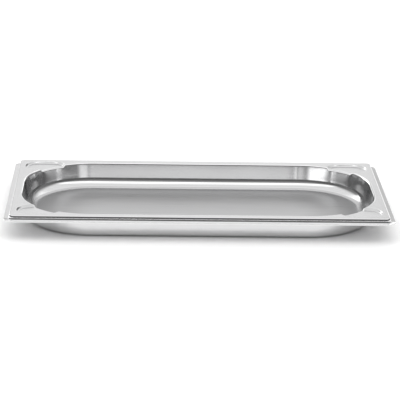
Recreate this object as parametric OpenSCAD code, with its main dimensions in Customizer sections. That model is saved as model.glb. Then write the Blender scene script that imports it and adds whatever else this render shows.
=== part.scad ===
// Shallow one-third food pan, deep-drawn from a single stainless sheet.
//
// Millimetres. +X runs along the long side, +Z is up. The origin is the centre of the underside
// of the floor, which is what the pan stands on.
//
// The pan is one piece of sheet: floor, walls, flat flange and turned-down skirt are regions of
// the same blank, so it is one node. Two cross-sections describe it. The bowl section runs from
// the floor up the wall and over the mouth bend; the skirt section runs from the flange down to
// the hem. Each is a line of straights and bends, swept along the sides and round the corners.
// A shallow pocket is pressed into the flange at each corner and runs out into the bowl.

/* [Rim] */
// Outside length over the hem
rim_l = 325; // [260:5:530]
// Outside width over the hem
rim_w = 176; // [146:2:325]
// Outside radius of the hem at each rim corner
rim_corner_r = 9; // [7:0.5:16]
// Distance from the hem edge in to the crease where the flange ends
skirt_w = 5; // [3.6:0.1:6]
// Distance from the crease out to the fold at the foot of the skirt
skirt_run = 1.1; // [0.5:0.1:2.4]
// Height from the flange top down to the fold at the foot of the skirt
fold_drop = 3.6; // [1.5:0.1:4]
// Height from the flange top down to the top of the hem edge
hem_drop = 3.9; // [2.6:0.1:6]

/* [Bowl] */
// Overall height, flange top to underside of the floor
overall_h = 22; // [18:1:65]
// Distance from the hem edge in to the mouth of the bowl
mouth_inset = 12; // [10:0.5:16]
// Plan radius of the mouth at each corner
mouth_corner_r = 60; // [40:1:72]
// Lean of the wall from upright, in degrees
draft = 8; // [2:0.5:10]
// Inside radius between wall and floor
floor_r = 9.4; // [5:0.2:12]

/* [Corner pockets] */
// Depth of a pocket below the flange top
pocket_depth = 1.8; // [1:0.1:2.6]
// End radius of a pocket at the flange top
pocket_r = 13; // [10:0.25:13]
// Length of the straight part of a pocket along the long side
pocket_straight = 10; // [2:0.5:14]
// Distance from the hem edge to the pocket, on both sides
pocket_inset = 9.6; // [8.5:0.1:11]
// Steepness of the step round a pocket, in degrees from the flat
pocket_slope = 55; // [30:1:60]

/* [Sheet] */
// Thickness of the stainless sheet
sheet_t = 0.8; // [0.6:0.05:1]
// Inside radius of the bend over the mouth
mouth_bend_r = 1.2; // [0.8:0.1:2.5]
// Inside radius of the crease and of the fold in the skirt
skirt_bend_r = 0.3; // [0.3:0.1:0.8]
// Most degrees of turn that one flat of a bend covers
bend_step = 12; // [8:1:20]

/* [Hidden] */
$fn = 72;

// Room that a cut takes above the flange, so that no skin is left
cut_over = 1;
// Centres of the mouth corners and of the rim corners
mouth_x = rim_l / 2 - mouth_inset - mouth_corner_r;
mouth_y = rim_w / 2 - mouth_inset - mouth_corner_r;
hem_x = rim_l / 2 - rim_corner_r;
hem_y = rim_w / 2 - rim_corner_r;
// How far the leaning wall steps in between the flange top and the floor
wall_lean = (overall_h - sheet_t) * tan(draft);
// Centre of a pocket
pocket_x = rim_l / 2 - pocket_inset - pocket_r - pocket_straight / 2;
pocket_y = rim_w / 2 - pocket_inset - pocket_r;

function unit(v) = v / norm(v);
function left_of(d) = [-d[1], d[0]];
function on_circle(r, angle) = r * [cos(angle), sin(angle)];

// Points round the bend at b, between straights that come from a and leave for c. The line is
// the upper face of the sheet; below = sheet_t gives the lower face. r is the inside radius.
function bend(a, b, c, r, below) =
    let (
        going_in = unit(b - a),
        going_out = unit(c - b),
        side = cross(going_in, going_out) > 0 ? 1 : -1,
        turn = acos(going_in * going_out),
        upper_r = side > 0 ? r : r + sheet_t,
        to_centre = left_of(going_in) * side,
        centre = b - going_in * upper_r * tan(turn / 2) + to_centre * upper_r,
        start = atan2(-to_centre[1], -to_centre[0]),
        steps = ceil(turn / bend_step)
    )
    [for (i = [0 : steps]) centre + on_circle(upper_r + side * below, start + side * turn * i / steps)];

// The bowl section from its middle, where the mouth lies reach away, to the start of the flange
function bowl_line(reach, below) =
    let (
        middle = [0, sheet_t],
        foot = [reach - wall_lean, sheet_t],
        mouth = [reach, overall_h],
        flange = [reach + mouth_inset, overall_h]
    )
    concat(
        [middle - [0, below]],
        bend(middle, foot, mouth, floor_r, below),
        bend(foot, mouth, flange, mouth_bend_r, below)
    );

// The skirt section from the end of the flange to the hem edge, which lies reach away
function skirt_line(reach, below) =
    let (
        flange = [reach - mouth_inset, overall_h],
        crease = [reach - skirt_w, overall_h],
        fold = crease + [skirt_run, -fold_drop],
        edge = [reach, overall_h - hem_drop]
    )
    concat(
        bend(flange, crease, fold, skirt_bend_r, below),
        bend(crease, fold, edge, skirt_bend_r, below),
        [edge - left_of(unit(edge - fold)) * below]
    );

function reversed(list) = [for (i = [len(list) - 1 : -1 : 0]) list[i]];
function last(list) = list[len(list) - 1];

// Everything between the middle and one face of the bowl sheet, up to the height top
module bowl_section(reach, below, top) {
    line = bowl_line(reach, below);
    polygon(concat(line, [[last(line)[0], top], [0, top]]));
}

module skirt_section(reach) {
    polygon(concat(skirt_line(reach, 0), reversed(skirt_line(reach, sheet_t))));
}

// Copies a child, drawn for the +X +Y corner, to all four corners
module at_four_corners() {
    for (flip_x = [0, 1], flip_y = [0, 1])
        mirror([flip_x, 0, 0])
            mirror([0, flip_y, 0])
                children();
}

// The solid that one face of the bowl sheet bounds
module bowl_form(below, top) {
    rotate([90, 0, 90])
        linear_extrude(2 * mouth_x, center = true)
            for (flip = [0, 1])
                mirror([flip, 0])
                    bowl_section(mouth_y + mouth_corner_r, below, top);
    for (flip = [0, 1])
        mirror([flip, 0, 0])
            translate([mouth_x, 0, 0])
                rotate([90, 0, 0])
                    linear_extrude(2 * mouth_y, center = true)
                        bowl_section(mouth_corner_r, below, top);
    at_four_corners()
        translate([mouth_x, mouth_y, 0])
            rotate_extrude(angle = 90)
                bowl_section(mouth_corner_r, below, top);
}

// The flat sheet inside the crease, before the bowl is cut out of it
module flange_plate() {
    edge = skirt_line(rim_corner_r, 0)[0][0];
    translate([0, 0, overall_h - sheet_t])
        linear_extrude(sheet_t)
            union() {
                square([2 * (hem_x + edge), 2 * hem_y], center = true);
                square([2 * hem_x, 2 * (hem_y + edge)], center = true);
                at_four_corners()
                    translate([hem_x, hem_y])
                        circle(edge);
            }
}

// The turned-down skirt and its hem, all round the rim
module skirt() {
    for (flip = [0, 1]) {
        mirror([flip, 0, 0])
            translate([hem_x, 0, 0])
                rotate([90, 0, 0])
                    linear_extrude(2 * hem_y, center = true)
                        skirt_section(rim_corner_r);
        mirror([0, flip, 0])
            translate([0, hem_y, 0])
                rotate([90, 0, 90])
                    linear_extrude(2 * hem_x, center = true)
                        skirt_section(rim_corner_r);
    }
    at_four_corners()
        translate([hem_x, hem_y, 0])
            rotate_extrude(angle = 90)
                skirt_section(rim_corner_r);
}

// A round-ended dish from its floor to the height top, for one face of the sheet
module pocket_form(below, top) {
    floor_z = overall_h - pocket_depth - below;
    floor_radius = pocket_r - pocket_depth / tan(pocket_slope) + below * tan(pocket_slope / 2);
    rise = top - floor_z;
    top_radius = floor_radius + rise / tan(pocket_slope);
    for (side = [-1, 1])
        translate([pocket_x + side * pocket_straight / 2, pocket_y, floor_z])
            cylinder(h = rise, r1 = floor_radius, r2 = top_radius);
    translate([pocket_x, pocket_y, floor_z])
        rotate([90, 0, 90])
            linear_extrude(pocket_straight, center = true)
                polygon([
                    [-floor_radius, 0], [floor_radius, 0],
                    [top_radius, rise], [-top_radius, rise]
                ]);
}

module pan_shell() {
    color("silver")
        difference() {
            union() {
                flange_plate();
                skirt();
                bowl_form(sheet_t, overall_h);
                at_four_corners()
                    pocket_form(sheet_t, overall_h - sheet_t / 2);
            }
            bowl_form(0, overall_h + cut_over);
            at_four_corners()
                pocket_form(0, overall_h + cut_over);
        }
}

pan_shell();
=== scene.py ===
# %% [markdown]
# # A shallow one-third food pan
#
# The pan is one sheet of stainless steel, drawn down into a bowl, with its rim left flat, turned down
# and flared out again at the edge. Everything seen is the same sheet, so the whole lesson is about one
# surface: how it bends, how even its thickness is, and how a satin metal mirrors a plain room.
#
# The construction model is loaded first. It fixes where the pan stands and how big it is.

# %% Load the construction model
import math

import bmesh
import bpy
from mathutils import Matrix, Vector


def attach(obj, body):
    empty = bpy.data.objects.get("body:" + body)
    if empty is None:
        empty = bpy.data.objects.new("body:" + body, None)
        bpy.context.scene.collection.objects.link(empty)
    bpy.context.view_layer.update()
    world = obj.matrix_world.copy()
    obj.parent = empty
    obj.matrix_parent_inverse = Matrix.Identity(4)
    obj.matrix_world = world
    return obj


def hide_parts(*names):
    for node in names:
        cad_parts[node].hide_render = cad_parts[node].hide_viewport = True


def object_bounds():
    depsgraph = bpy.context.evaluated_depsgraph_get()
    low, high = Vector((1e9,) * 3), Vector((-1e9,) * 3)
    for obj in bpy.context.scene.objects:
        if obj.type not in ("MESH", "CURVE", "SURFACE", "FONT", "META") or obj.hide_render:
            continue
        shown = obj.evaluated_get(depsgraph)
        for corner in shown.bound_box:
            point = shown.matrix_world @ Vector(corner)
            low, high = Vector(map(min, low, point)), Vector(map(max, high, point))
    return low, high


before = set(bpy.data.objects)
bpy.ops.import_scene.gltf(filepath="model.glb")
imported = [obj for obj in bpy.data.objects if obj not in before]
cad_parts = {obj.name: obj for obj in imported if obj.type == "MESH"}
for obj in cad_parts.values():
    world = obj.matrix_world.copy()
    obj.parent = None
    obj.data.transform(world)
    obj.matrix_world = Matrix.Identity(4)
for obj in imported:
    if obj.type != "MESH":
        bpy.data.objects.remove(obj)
cad_low, cad_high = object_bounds()
rim_length = cad_high.x - cad_low.x
rim_width = cad_high.y - cad_low.y
flange_z = cad_high.z
print(f"construction model: {rim_length:.4f} x {rim_width:.4f} m, flange at {flange_z:.4f} m")

# %% [markdown]
# ## The sizes of the pressed sheet
#
# A press tool is drawn as two cross-sections: one from the mouth down the wall to the floor, and one
# from the flange down the skirt to the hem. Both are straights joined by bends. A bend could be modelled
# as a sharp corner with a bevel on it, but then each bevel has to be set by eye. Here the bends are
# worked out from the same radii as the tool, so the sheet keeps its thickness through them.

# %% Sizes, in metres
MM = 0.001
SHEET = 0.8 * MM
RIM_CORNER = 9 * MM
MOUTH_IN = 12 * MM
MOUTH_CORNER = 60 * MM
DRAFT = math.radians(8)
FLOOR_BEND = 9.4 * MM
MOUTH_BEND = 1.2 * MM
TURN_STEP = math.radians(8)
LEVEL = Vector((30 * MM, 0))
floor_z = cad_low.z + SHEET
wall_lean = (flange_z - floor_z) * math.tan(DRAFT)


def bend(a, b, c, inside):
    """Points on the upper face of the sheet round the bend at b, between straights a-b and b-c."""
    going_in = (b - a).normalized()
    going_out = (c - b).normalized()
    side = 1 if going_in.cross(going_out) > 0 else -1
    turn = going_in.angle(going_out)
    radius = inside if side > 0 else inside + SHEET
    to_centre = Vector((-going_in.y, going_in.x)) * side
    centre = b - going_in * radius * math.tan(turn / 2) + to_centre * radius
    steps = math.ceil(turn / TURN_STEP)
    turns = [Matrix.Rotation(side * turn * i / steps, 2) for i in range(steps + 1)]
    return [centre + one @ (to_centre * -radius) for one in turns]


# %% The bowl section: x is how far outside the mouth a point lies, y is its height
WALL_ROWS = 5
foot = Vector((-wall_lean, floor_z))
mouth = Vector((0, flange_z))
floor_bend = bend(foot - LEVEL, foot, mouth, FLOOR_BEND)
mouth_bend = bend(foot, mouth, mouth + LEVEL, MOUTH_BEND)
wall_rows = [floor_bend[-1].lerp(mouth_bend[0], i / WALL_ROWS) for i in range(1, WALL_ROWS)]
bowl_section = [*floor_bend, *wall_rows, *mouth_bend][::-1]
mouth_edge = bowl_section[0].x
print("bowl section:", len(bowl_section), "rings, mouth bend starts", round(mouth_edge / MM, 2), "mm out")

# %% [markdown]
# The skirt looks straight from afar, but its section is a flat S: it leaves the flange at a sharp
# crease, steepens gently until it is nearly upright, and eases out again before the fold to the hem.
# That S is what draws the thin lines of light along the rim, so each of its bends gets its own radius.

# %% The skirt section: x is how far inside the hem edge a point lies, taken as negative
SKIRT_IN = 5 * MM
HEM_DROP = 3.9 * MM
CREASE_BEND = 0.2 * MM
SKIRT_SWELL = 4.2 * MM
SKIRT_EASE = 3 * MM
# How steeply the skirt falls below the crease, in its middle and above the fold, and how far each falls
SKIRT_FALLS = [(68, 1.4 * MM), (84, 1.3 * MM), (66, 0.9 * MM)]

skirt_corners = [Vector((-SKIRT_IN, flange_z))]
for steepness, drop in SKIRT_FALLS:
    run = drop / math.tan(math.radians(steepness))
    skirt_corners.append(skirt_corners[-1] + Vector((run, -drop)))
before = skirt_corners[0] - LEVEL
hem = Vector((0, flange_z - HEM_DROP))
line = [before, *skirt_corners, hem]
radii = [CREASE_BEND, SKIRT_SWELL, SKIRT_EASE, CREASE_BEND]
rim_section = [hem]
for a, b, c, radius in reversed(list(zip(line, line[1:], line[2:], radii))):
    rim_section += bend(a, b, c, radius)[::-1]
fold_down = flange_z - skirt_corners[-1].y
print("rim section:", len(rim_section), "rings, fold", round(fold_down / MM, 2), "mm down")

# %% [markdown]
# ## From a flat plate to a bowl
#
# The real pan starts as a flat blank and is drawn down in one stroke. The mesh is made the same way: a
# plane with round corners is one big face, and each inset of that face makes the next ring of the
# section, a little further in and a little lower. An inset with even offset keeps every ring parallel
# to the last, so the round corners stay true arcs about one centre all the way down.

# %% Helpers for edit mode
CORNER_STEPS = 108


def only(piece):
    """Leaves just this piece selected and active."""
    bpy.ops.object.select_all(action="DESELECT")
    piece.select_set(True)
    bpy.context.view_layer.objects.active = piece


def round_plate(name, length, width, corner, height):
    """A flat face with round corners, still in edit mode and selected."""
    bpy.ops.object.select_all(action="DESELECT")
    bpy.ops.mesh.primitive_plane_add(size=1, location=(0, 0, height))
    plate = bpy.context.active_object
    plate.name = name
    bpy.ops.object.transform_apply(location=True, rotation=True, scale=True)
    bpy.ops.object.mode_set(mode="EDIT")
    bpy.ops.mesh.select_all(action="SELECT")
    bpy.ops.transform.resize(value=(length, width, 1))
    bpy.ops.mesh.bevel(offset=corner, segments=CORNER_STEPS, affect="VERTICES", clamp_overlap=False)
    bpy.ops.mesh.select_all(action="SELECT")
    return plate


def inset_along(section):
    """Insets the selected face ring by ring, along the section's points."""
    for here, there in zip(section, section[1:]):
        step = there - here
        bpy.ops.mesh.inset(thickness=abs(step.x), depth=step.y, use_even_offset=True)


# %% Draw the bowl, with one more ring that keeps the big floor face clear of the bend
FLOOR_EDGE = 2 * MM

bowl = round_plate(
    "pan_shell_sheet",
    rim_length - 2 * (MOUTH_IN - mouth_edge),
    rim_width - 2 * (MOUTH_IN - mouth_edge),
    MOUTH_CORNER + mouth_edge,
    flange_z,
)
inset_along(bowl_section)
bpy.ops.mesh.inset(thickness=FLOOR_EDGE, use_even_offset=True)
bpy.ops.object.mode_set(mode="OBJECT")
print("bowl:", len(bowl.data.vertices), "points")

# %% Draw the rim from its hem upward
rim = round_plate("rim", rim_length, rim_width, RIM_CORNER, rim_section[0].y)
inset_along(rim_section)
bpy.ops.mesh.delete(type="ONLY_FACE")
bpy.ops.object.mode_set(mode="OBJECT")
print("rim:", len(rim.data.vertices), "points")

# %% [markdown]
# ## Joining rim and bowl with the flat flange
#
# Both outlines lie at the height of the flange and both have the same number of points, so a bridge
# between them is all that the flange needs. On the real pan this is the part of the blank that the
# press holds flat. The bridge is cut into many narrow rows, because the corner pockets are pressed into
# it next.

# %% Bridge the flange
FLANGE_ROWS = 50
HAIR = 0.001 * MM

only(bowl)
rim.select_set(True)
bpy.ops.object.join()
bpy.ops.object.mode_set(mode="EDIT")
bpy.ops.mesh.select_mode(type="EDGE")
bpy.ops.mesh.select_all(action="DESELECT")
mesh = bmesh.from_edit_mesh(bowl.data)
for edge in mesh.edges:
    edge.select = edge.is_boundary and all(v.co.z > flange_z - HAIR for v in edge.verts)
bmesh.update_edit_mesh(bowl.data)
bpy.ops.mesh.bridge_edge_loops(number_cuts=FLANGE_ROWS, interpolation="LINEAR", smoothness=0)
bpy.ops.mesh.select_all(action="SELECT")
bpy.ops.mesh.normals_make_consistent(inside=False)
biggest = max(bmesh.from_edit_mesh(bowl.data).faces, key=lambda face: face.calc_area())
if biggest.normal.z < 0:
    bpy.ops.mesh.flip_normals()
bpy.ops.object.mode_set(mode="OBJECT")
print("sheet:", len(bowl.data.vertices), "points,", len(bowl.data.polygons), "faces")

# %% [markdown]
# ## The corner pockets
#
# At each corner a shallow pocket is stamped into the flange. It lets a stacked pan come free, and it
# runs out into the bowl, where the mouth bend dips with it. A boolean would cut a hole with hard edges;
# a stamp only moves the sheet. So every point of the flange is lowered by the depth of the die under
# it, and the points of the bend and the wall slide down along the wall by less and less.

# %% Stamp the pockets
POCKET_DEPTH = 1.8 * MM
POCKET_ROUND = 13 * MM
POCKET_STRAIGHT = 10 * MM
POCKET_IN = 9.6 * MM
POCKET_STEP = 1.4 * MM
LIP_FADE = 3 * MM
BEND_FADE = 1.5 * MM
pocket_x = rim_length / 2 - POCKET_IN - POCKET_ROUND - POCKET_STRAIGHT / 2
pocket_y = rim_width / 2 - POCKET_IN - POCKET_ROUND
mouth_x = rim_length / 2 - MOUTH_IN - MOUTH_CORNER
mouth_y = rim_width / 2 - MOUTH_IN - MOUTH_CORNER
wall_low = floor_z + FLOOR_BEND


def smooth(t):
    """Rises from 0 to 1 with a soft start and a soft end."""
    t = min(max(t, 0), 1)
    return t * t * (3 - 2 * t)


def pocket_depth(x, y):
    """How far the die presses the sheet down at a place."""
    from_axis = max(abs(abs(x) - pocket_x) - POCKET_STRAIGHT / 2, 0)
    inside = POCKET_ROUND - math.hypot(from_axis, abs(y) - pocket_y)
    return POCKET_DEPTH * smooth(inside / POCKET_STEP)


def on_skirt(x, y):
    """Whether a place lies outside the crease."""
    return abs(x) > rim_length / 2 - SKIRT_IN or abs(y) > rim_width / 2 - SKIRT_IN


def way_out(x, y):
    """The level direction out of the bowl, square to its wall."""
    out = Vector((max(abs(x) - mouth_x, 0), max(abs(y) - mouth_y, 0)))
    if out.length < HAIR:
        return Vector((0, 0))
    out.normalize()
    return Vector((math.copysign(out.x, x), math.copysign(out.y, y)))


lowered = 0
for point in bowl.data.vertices:
    x, y, z = point.co
    if z < wall_low or on_skirt(x, y):
        continue
    drop = pocket_depth(x, y) * smooth((z - wall_low) / (flange_z - LIP_FADE - wall_low))
    if drop > 0:
        lowered += 1
        along_wall = smooth((flange_z - z) / BEND_FADE)
        out = way_out(x, y) * drop * math.tan(DRAFT) * along_wall
        point.co = Vector((x - out.x, y - out.y, z - drop))
print("pockets: lowered", lowered, "points")

# %% [markdown]
# ## Giving the sheet its thickness
#
# So far there is only the upper face. Solidify with even thickness grows the lower face the true sheet
# thickness away, also round the bends, and closes the cut edge of the hem. That edge is ground blunt on
# a real pan, so its two corners get a small bevel.

# %% Thicken the sheet and blunt the hem edge
HEM_BLUNT = 0.25 * MM
HEM_STEPS = 3
SHARP = math.radians(60)

only(bowl)
wall = bowl.modifiers.new("sheet", "SOLIDIFY")
wall.thickness = SHEET
wall.offset = -1
wall.use_even_offset = True
bpy.ops.object.modifier_apply(modifier=wall.name)
bpy.ops.object.mode_set(mode="EDIT")
bpy.ops.mesh.select_mode(type="EDGE")
bpy.ops.mesh.select_all(action="DESELECT")
mesh = bmesh.from_edit_mesh(bowl.data)
for edge in mesh.edges:
    middle = (edge.verts[0].co + edge.verts[1].co) / 2
    past_rim = max(abs(middle.x) - rim_length / 2, abs(middle.y) - rim_width / 2)
    at_hem = past_rim > -RIM_CORNER / 2
    near_hem = at_hem and abs(middle.z - hem.y + SHEET / 2) < SHEET
    edge.select = near_hem and edge.calc_face_angle() > SHARP
print("hem edges:", sum(edge.select for edge in mesh.edges))
bmesh.update_edit_mesh(bowl.data)
bpy.ops.mesh.bevel(offset=HEM_BLUNT, segments=HEM_STEPS, affect="EDGES")
bpy.ops.object.mode_set(mode="OBJECT")
bpy.ops.object.shade_smooth()
weigh = bowl.modifiers.new("even_shading", "WEIGHTED_NORMAL")
weigh.weight = 100
weigh.keep_sharp = True
bpy.ops.object.modifier_apply(modifier=weigh.name)
print("pan:", len(bowl.data.vertices), "points,", len(bowl.data.polygons), "faces")

# %% [markdown]
# ## Laying the blank out again
#
# The rolling marks were on the flat blank before it was pressed, so they follow the sheet round its
# bends: level along the long walls, and straight up the short ones. A pattern on plain object
# coordinates can't do that. An unwrap would need seams. The blank is simple enough to lay out by rule:
# a point goes back to its place in plan, moved outwards by how high it has been left above the floor,
# and on the skirt by how far it has come down again.

# %% The UV map of the flat blank, in metres
blank = bowl.data.uv_layers.new(name="blank")
bowl.data.uv_layers.active = blank
places = []
for point in bowl.data.vertices:
    x, y, z = point.co
    travel = 2 * flange_z - z - floor_z if on_skirt(x, y) else z - floor_z
    places.append(Vector((x, y)) + way_out(x, y) * travel)
for loop in bowl.data.loops:
    blank.data[loop.index].uv = places[loop.vertex_index]
blank_length = 2 * max(place.x for place in places)
blank_width = 2 * max(place.y for place in places)
print("blank:", round(blank_length / MM), "x", round(blank_width / MM), "mm")

# %% [markdown]
# A press rubs the sheet hardest where it bends it, and stacking and wiping polish the same places
# later. So each point also carries how sharply the sheet bends there, from 0 on the flats to 1 on a
# bend as tight as the crease. The steel uses it to turn smoother along every edge, for that polish, and
# brighter along every edge, which is a painted highlight. A second value says how hard the tool has
# slid over the sheet: hard on walls and skirt, half as hard on the flange, which the press only
# clamps, and not at all on the floor, which moves down with the punch.

# %% How sharply the sheet is bent at each point
TIGHT_BEND = 1.6 * MM
HALF = 0.5
mesh = bmesh.new()
mesh.from_mesh(bowl.data)
mesh.verts.ensure_lookup_table()
bend_polish_and_highlight = bowl.data.attributes.new("bend_polish_and_highlight", "FLOAT", "POINT")
for point in mesh.verts:
    turn = 0
    for edge in point.link_edges:
        if edge.is_manifold:
            span = sum(face.calc_area() for face in edge.link_faces) / 2 / edge.calc_length()
            turn = max(turn, edge.calc_face_angle() / span)
    bend_polish_and_highlight.data[point.index].value = min(turn * TIGHT_BEND, 1)
mesh.free()
print("bent points:", sum(item.value > HALF for item in bend_polish_and_highlight.data))

# %% How hard the die has rubbed each point: fully on the walls and the skirt, half on the flange
RUB_HEIGHT = 0.3 * MM
FLANGE_RUB = 0.5
drawn = bowl.data.attributes.new("drawn", "FLOAT", "POINT")
for point in bowl.data.vertices:
    x, y, z = point.co
    above_floor = smooth((z - floor_z) / RUB_HEIGHT)
    below_flange = flange_z - pocket_depth(x, y) - z
    off_flange = 1 if on_skirt(x, y) else smooth(below_flange / RUB_HEIGHT)
    drawn.data[point.index].value = above_floor * (FLANGE_RUB + (1 - FLANGE_RUB) * off_flange)
print("rubbed points:", sum(item.value > HALF for item in drawn.data))

# %% Tell the frame what the piece stands for
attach(bowl, "root")
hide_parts("pan_shell")

# %% [markdown]
# ## Satin stainless steel
#
# Rolled stainless is not a clean mirror. Fine parallel marks from the rolls cover it, so it blurs what
# it mirrors across them and hardly at all along them. Anisotropy on the shader does the blur, with the
# blank's map giving the direction. Four patterns then break up the even surface: rolling marks as
# noise drawn out along the sheet, fine speckle where the press has stretched the grain, slow clouds
# from wiping, and painted shade, a darker ring round the edge of the floor where it meets the walls.
# Each is a small node group, so that it can be read and tried on its own.

# %% Helpers that make node groups and their nodes
def new_group(name, place, values, output):
    """A node group with a place, named values with their defaults, and one output, all to be linked."""
    group = bpy.data.node_groups.new(name, "ShaderNodeTree")
    group.interface.new_socket(place, in_out="INPUT", socket_type="NodeSocketVector")
    for label, value in values.items():
        socket = group.interface.new_socket(label, in_out="INPUT", socket_type="NodeSocketFloat")
        socket.default_value = value
    group.interface.new_socket(output, in_out="OUTPUT", socket_type="NodeSocketFloat")
    entry = group.nodes.new("NodeGroupInput")
    leave = group.nodes.new("NodeGroupOutput")
    return group, entry.outputs, leave.inputs


def math_node(tree, operation, *values):
    """A math node fed by plain numbers or by other nodes' outputs; returns its output."""
    node = tree.nodes.new("ShaderNodeMath")
    node.operation = operation
    for socket, value in zip(node.inputs, values):
        if isinstance(value, (int, float)):
            socket.default_value = value
        else:
            tree.links.new(value, socket)
    return node.outputs[0]


def ranged(tree, value, given, wanted=(0, 1)):
    """Carries a value over from one range to another and holds it there; returns the output."""
    node = tree.nodes.new("ShaderNodeMapRange")
    node.inputs["From Min"].default_value = given[0]
    node.inputs["From Max"].default_value = given[1]
    node.inputs["To Min"].default_value = wanted[0]
    node.inputs["To Max"].default_value = wanted[1]
    tree.links.new(value, node.inputs["Value"])
    return node.outputs["Result"]


def stretched_noise(tree, place, along, across, detail):
    """Noise with streaks about 1/along long and 1/across wide, in metres."""
    scale = tree.nodes.new("ShaderNodeVectorMath")
    scale.operation = "MULTIPLY"
    scale.inputs[1].default_value = (along, across, 1)
    tree.links.new(place, scale.inputs[0])
    noise = tree.nodes.new("ShaderNodeTexNoise")
    noise.inputs["Scale"].default_value = 1
    noise.inputs["Detail"].default_value = detail
    tree.links.new(scale.outputs[0], noise.inputs["Vector"])
    return noise.outputs[0]


# %% Rolling marks: noise drawn out along the sheet, coarse and fine together
rolling, given, wanted = new_group("rolling_marks", "Blank", {"Coarse Share": 0.5}, "Marks")
coarse = stretched_noise(rolling, given["Blank"], along=14, across=420, detail=3)
fine = stretched_noise(rolling, given["Blank"], along=60, across=2600, detail=4)
coarse_part = math_node(rolling, "MULTIPLY", coarse, given["Coarse Share"])
fine_share = math_node(rolling, "SUBTRACT", 1, given["Coarse Share"])
both = math_node(rolling, "MULTIPLY_ADD", fine, fine_share, coarse_part)
rolling.links.new(both, wanted["Marks"])
print("made", rolling.name)

# %% Pressing speckle: the stretched grain of the metal, as fine as a grain of salt
speckle, given, wanted = new_group("pressing_speckle", "Blank", {"Amount": 1}, "Speckle")
grains = stretched_noise(speckle, given["Blank"], along=1500, across=1500, detail=2)
dots = math_node(speckle, "MULTIPLY", ranged(speckle, grains, (0.42, 0.66)), given["Amount"])
speckle.links.new(dots, wanted["Speckle"])
print("made", speckle.name)

# %% Wiping clouds: slow changes of shine, a hand's breadth across
clouds, given, wanted = new_group("wiping_clouds", "Blank", {"Amount": 1}, "Clouds")
slow = stretched_noise(clouds, given["Blank"], along=16, across=30, detail=2)
centred = math_node(clouds, "SUBTRACT", slow, 0.5)
clouds.links.new(math_node(clouds, "MULTIPLY", centred, given["Amount"]), wanted["Clouds"])
print("made", clouds.name)

# %% [markdown]
# The floor's colour is painted darker round its edge, where it meets the bend and the walls. This is
# painted shade, standing in for the shade that falls there. The distance from the edge could be stored
# on the points, but the floor is one big face without points inside. It is worked out from the object's
# own coordinates instead, as the distance inside a long round-ended shape.

# %% Painted floor-edge shade: 1 where the floor meets its bend, fading to 0 further in, and wider in the corners
FLOOR_HALF_LENGTH = rim_length / 2 - MOUTH_IN - wall_lean
FLOOR_HALF_WIDTH = rim_width / 2 - MOUTH_IN - wall_lean
ring, given, wanted = new_group("floor_edge_shade_ring", "Place", {"Reach": 0.05}, "Ring")
place = ring.nodes.new("ShaderNodeSeparateXYZ")
ring.links.new(given["Place"], place.inputs[0])
from_centre = math_node(ring, "ABSOLUTE", place.outputs["X"])
past_middle = math_node(ring, "SUBTRACT", from_centre, FLOOR_HALF_LENGTH - FLOOR_HALF_WIDTH)
end_part = math_node(ring, "POWER", math_node(ring, "MAXIMUM", past_middle, 0), 2)
side_part = math_node(ring, "POWER", place.outputs["Y"], 2)
from_spine = math_node(ring, "SQRT", math_node(ring, "ADD", end_part, side_part))
inward = math_node(ring, "SUBTRACT", FLOOR_HALF_WIDTH, from_spine)
fade = ring.nodes.new("ShaderNodeMapRange")
fade.interpolation_type = "SMOOTHSTEP"
fade.inputs["To Min"].default_value = 1
fade.inputs["To Max"].default_value = 0
ring.links.new(inward, fade.inputs["Value"])
ring.links.new(given["Reach"], fade.inputs["From Max"])
ring.links.new(fade.outputs["Result"], wanted["Ring"])
print("made", ring.name)

# %% The steel itself
steel = bpy.data.materials.new("satin_stainless")
steel.use_nodes = True
tree = steel.node_tree
shader = tree.nodes["Principled BSDF"]
shader.inputs["Metallic"].default_value = 1
shader.inputs["Anisotropic"].default_value = 0.6
shader.inputs["Anisotropic Rotation"].default_value = 0.25

on_blank = tree.nodes.new("ShaderNodeUVMap")
on_blank.uv_map = "blank"
on_piece = tree.nodes.new("ShaderNodeTexCoord")
grain_way = tree.nodes.new("ShaderNodeTangent")
grain_way.direction_type = "UV_MAP"
grain_way.uv_map = "blank"
tree.links.new(grain_way.outputs["Tangent"], shader.inputs["Tangent"])
print("steel:", steel.name)


# %% Helpers for the steel's own nodes
def stored(name):
    """A value that the points carry."""
    node = tree.nodes.new("ShaderNodeAttribute")
    node.attribute_name = name
    return node.outputs["Fac"]


def placed(group, place, label, value):
    """One of the groups, placed in the steel with its own value."""
    node = tree.nodes.new("ShaderNodeGroup")
    node.node_tree = group
    node.inputs[label].default_value = value
    tree.links.new(place, node.inputs[0])
    return node.outputs[0]


def add_shares(total, *terms):
    """Adds each output times its share to the total; a share may be negative."""
    for value, share in terms:
        total = math_node(tree, "MULTIPLY_ADD", value, share, total)
    return total


# %% The patterns as the steel uses them
RING_REACH = 60 * MM

# bend sharpness: smoother on the bends from polish, and brighter in colour as a painted highlight
bent = stored("bend_polish_and_highlight")
rubbed = stored("drawn")
marks = placed(rolling, on_blank.outputs["UV"], "Coarse Share", 0.55)
grains = placed(speckle, on_blank.outputs["UV"], "Amount", 1)
wiped = placed(clouds, on_blank.outputs["UV"], "Amount", 1)
ringed = placed(ring, on_piece.outputs["Object"], "Reach", RING_REACH)
# 1 on the floor, 0 on all that is rubbed at least as hard as the flange
on_floor = math_node(tree, "MULTIPLY_ADD", rubbed, -1 / FLANGE_RUB, 1)
# painted shade: the ring darkens the floor's colour round its edge, where it meets the walls
painted_floor_edge_shade = math_node(tree, "MULTIPLY", ringed, math_node(tree, "MAXIMUM", on_floor, 0))

# %% Colour: a shade darker in the marks, painted shade in the ring round the floor's edge, brighter where the sheet is rubbed, and a painted highlight along the bends
MARK_RANGE = (0.35, 0.65)
FLOOR_GREY = (0.54, 0.6)
DOT_SHADE = -0.02
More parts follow.
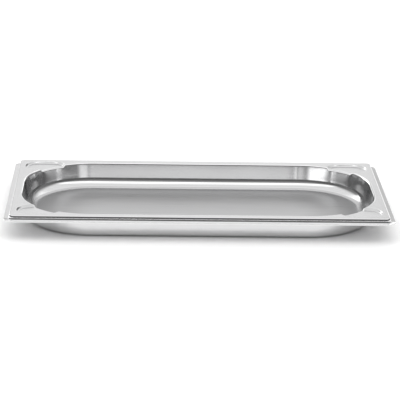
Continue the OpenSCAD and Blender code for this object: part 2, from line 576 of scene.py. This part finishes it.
# painted highlight: brighter colour along the bends
BEND_HIGHLIGHT = 0.05
RUBBED_SHADE = 0.22
# painted shade round the edge of the floor
PAINTED_RING_SHADE = -0.27
BLUE_CAST = 0.004

grey = add_shares(
    ranged(tree, marks, MARK_RANGE, FLOOR_GREY),
    (grains, DOT_SHADE),
    (bent, BEND_HIGHLIGHT),
    (rubbed, RUBBED_SHADE),
    (painted_floor_edge_shade, PAINTED_RING_SHADE),
)
colour = tree.nodes.new("ShaderNodeCombineColor")
tree.links.new(grey, colour.inputs["Red"])
tree.links.new(grey, colour.inputs["Green"])
tree.links.new(math_node(tree, "ADD", grey, BLUE_CAST), colour.inputs["Blue"])
tree.links.new(colour.outputs["Color"], shader.inputs["Base Color"])

# %% Roughness: satin on the flats, smoother on the walls and the bends
SATIN_RANGE = (0.3, 0.7)
SATIN = (0.27, 0.33)
SMOOTHEST = 0.07

rough = add_shares(
    ranged(tree, marks, SATIN_RANGE, SATIN),
    (wiped, 0.08),
    (grains, 0.02),
    (rubbed, -0.19),
    (bent, -0.06),
)
tree.links.new(math_node(tree, "MAXIMUM", rough, SMOOTHEST), shader.inputs["Roughness"])

# %% Relief: the marks and the speckle stand a few thousandths of a millimetre proud
relief = tree.nodes.new("ShaderNodeBump")
relief.inputs["Strength"].default_value = 0.35
relief.inputs["Distance"].default_value = 0.01 * MM
tree.links.new(add_shares(marks, (grains, 0.3)), relief.inputs["Height"])
tree.links.new(relief.outputs["Normal"], shader.inputs["Normal"])
bowl.data.materials.clear()
bowl.data.materials.append(steel)
print("steel:", len(tree.nodes), "nodes")

# %% [markdown]
# ## Floor, light and camera
#
# A metal pan shows the room more than itself, so the room is half of its finish. It could be built from
# cards and lamps, but the world's own brightness does the same with less to stand in the way of another
# view. Overhead the room is an even pale grey. In front of the pan it is dim near the horizon and has
# one long bright window higher up, which draws the dark and the white line along the floor bend. At
# the sides it is dim, so that the end walls turn dark. Behind the pan there is a window to the left and
# a smaller one to the right, which the far wall shows near its ends.

# %% The floor
FLOOR_SIZE = 40
PAPER_WHITE = (0.9, 0.9, 0.9, 1)

bpy.context.scene.view_settings.view_transform = "Standard"
bpy.ops.mesh.primitive_plane_add(size=FLOOR_SIZE, location=(0, 0, cad_low.z))
ground = bpy.context.active_object
ground.name = "floor"
paper = bpy.data.materials.new("paper")
paper.use_nodes = True
paper_shader = paper.node_tree.nodes["Principled BSDF"]
paper_shader.inputs["Base Color"].default_value = PAPER_WHITE
paper_shader.inputs["Roughness"].default_value = 0.9
ground.data.materials.append(paper)
print("floor:", FLOOR_SIZE, "m wide")

# %% The room: brightness by direction, as (degrees, brightness)
# From the horizon behind the pan, over the top, to the horizon in front
OVER_TOP = [
    (0, 1.1), (22, 1.1), (38, 1.3), (55, 0.9), (108, 0.88), (117, 1.5), (132, 1.5), (138, 0.35),
    (152, 0.3), (163, 0.2), (175, 0.12), (180, 0.12),
]
# Round the horizon: 0 is straight behind the pan, minus is to the left, 180 is in front
ROUND_ABOUT = [
    (-180, 0.12), (-120, 0.12), (-80, 0.2), (-55, 0.25), (-44, 2.2), (-20, 2.2), (-15, 0.5), (-10, 0.5),
    (-7, 0.85), (-4, 1), (3, 1.08), (7, 1), (9, 0.6), (11, 0.6), (14, 1.4), (24, 1.4), (30, 0.25),
    (75, 0.2), (120, 0.12), (180, 0.12),
]
# How high, as a share of straight up, the low part starts to give way, and how fast
LOW_TOP = 0.35
LOW_FADE = 4

world = bpy.data.worlds.new("studio")
bpy.context.scene.world = world
world.use_nodes = True
room = world.node_tree
direction = room.nodes.new("ShaderNodeTexCoord")
parts = room.nodes.new("ShaderNodeSeparateXYZ")
room.links.new(direction.outputs["Generated"], parts.inputs[0])
across, back_way, up = parts.outputs


def light_ramp(angle, stops):
    """Brightness along an angle, from stops in degrees."""
    low = stops[0][0]
    high = stops[-1][0]
    ramp = room.nodes.new("ShaderNodeValToRGB")
    room.links.new(ranged(room, angle, (math.radians(low), math.radians(high))), ramp.inputs["Fac"])
    elements = ramp.color_ramp.elements
    while len(elements) < len(stops):
        elements.new(0.5)
    for element, (degrees, light) in zip(elements, stops):
        element.position = (degrees - low) / (high - low)
        element.color = (light, light, light, 1)
    return ramp.outputs["Color"]


# %% Mix the two ramps by height. The mix node's colour sockets share their names, so they go by number
FIRST_COLOUR = 6
SECOND_COLOUR = 7
MIXED_COLOUR = 2

low_down = light_ramp(math_node(room, "ARCTAN2", across, back_way), ROUND_ABOUT)
high_up = light_ramp(math_node(room, "ARCTAN2", up, back_way), OVER_TOP)
above_low = math_node(room, "SUBTRACT", up, LOW_TOP)
blend = room.nodes.new("ShaderNodeMix")
blend.data_type = "RGBA"
blend.clamp_factor = True
room.links.new(math_node(room, "MULTIPLY", above_low, LOW_FADE), blend.inputs["Factor"])
room.links.new(low_down, blend.inputs[FIRST_COLOUR])
room.links.new(high_up, blend.inputs[SECOND_COLOUR])
room.links.new(blend.outputs[MIXED_COLOUR], room.nodes["Background"].inputs["Color"])
print("room:", len(OVER_TOP) + len(ROUND_ABOUT), "stops")

# %% A soft lamp for the floor, in front of the pan, which the steel doesn't mirror
LAMP_TILT = math.radians(42)

bpy.ops.object.light_add(type="SUN", rotation=(LAMP_TILT, 0, 0))
lamp = bpy.context.active_object
lamp.name = "floor_lamp"
lamp.data.energy = 1.95
lamp.data.angle = math.radians(90)
lamp.visible_glossy = False
print("lamp:", round(lamp.data.energy, 2))

# %% The camera
YAW = math.radians(-1.74)
PITCH = math.radians(17.14)
ROLL = math.radians(1.08)
DISTANCE = 1.722
ACROSS = 1.9 * MM
ALONG = -10.4 * MM
LENS = 179.3
SENSOR = 36

level_away = Vector((math.sin(YAW), -math.cos(YAW), 0))
away = level_away * math.cos(PITCH) + Vector((0, 0, math.sin(PITCH)))
right = Vector((math.cos(YAW), math.sin(YAW), 0))
upward = away.cross(right)
turned = Matrix((right, upward, away)).transposed() @ Matrix.Rotation(ROLL, 3, "Z")
stand = Vector((0, 0, flange_z)) + away * DISTANCE + right * ACROSS + upward * ALONG
bpy.ops.object.camera_add()
camera = bpy.context.active_object
camera.name = "camera"
camera.matrix_world = Matrix.Translation(stand) @ turned.to_4x4()
camera.data.lens = LENS
camera.data.sensor_width = SENSOR
bpy.context.scene.camera = camera
print("camera stands at", [round(v, 3) for v in stand])
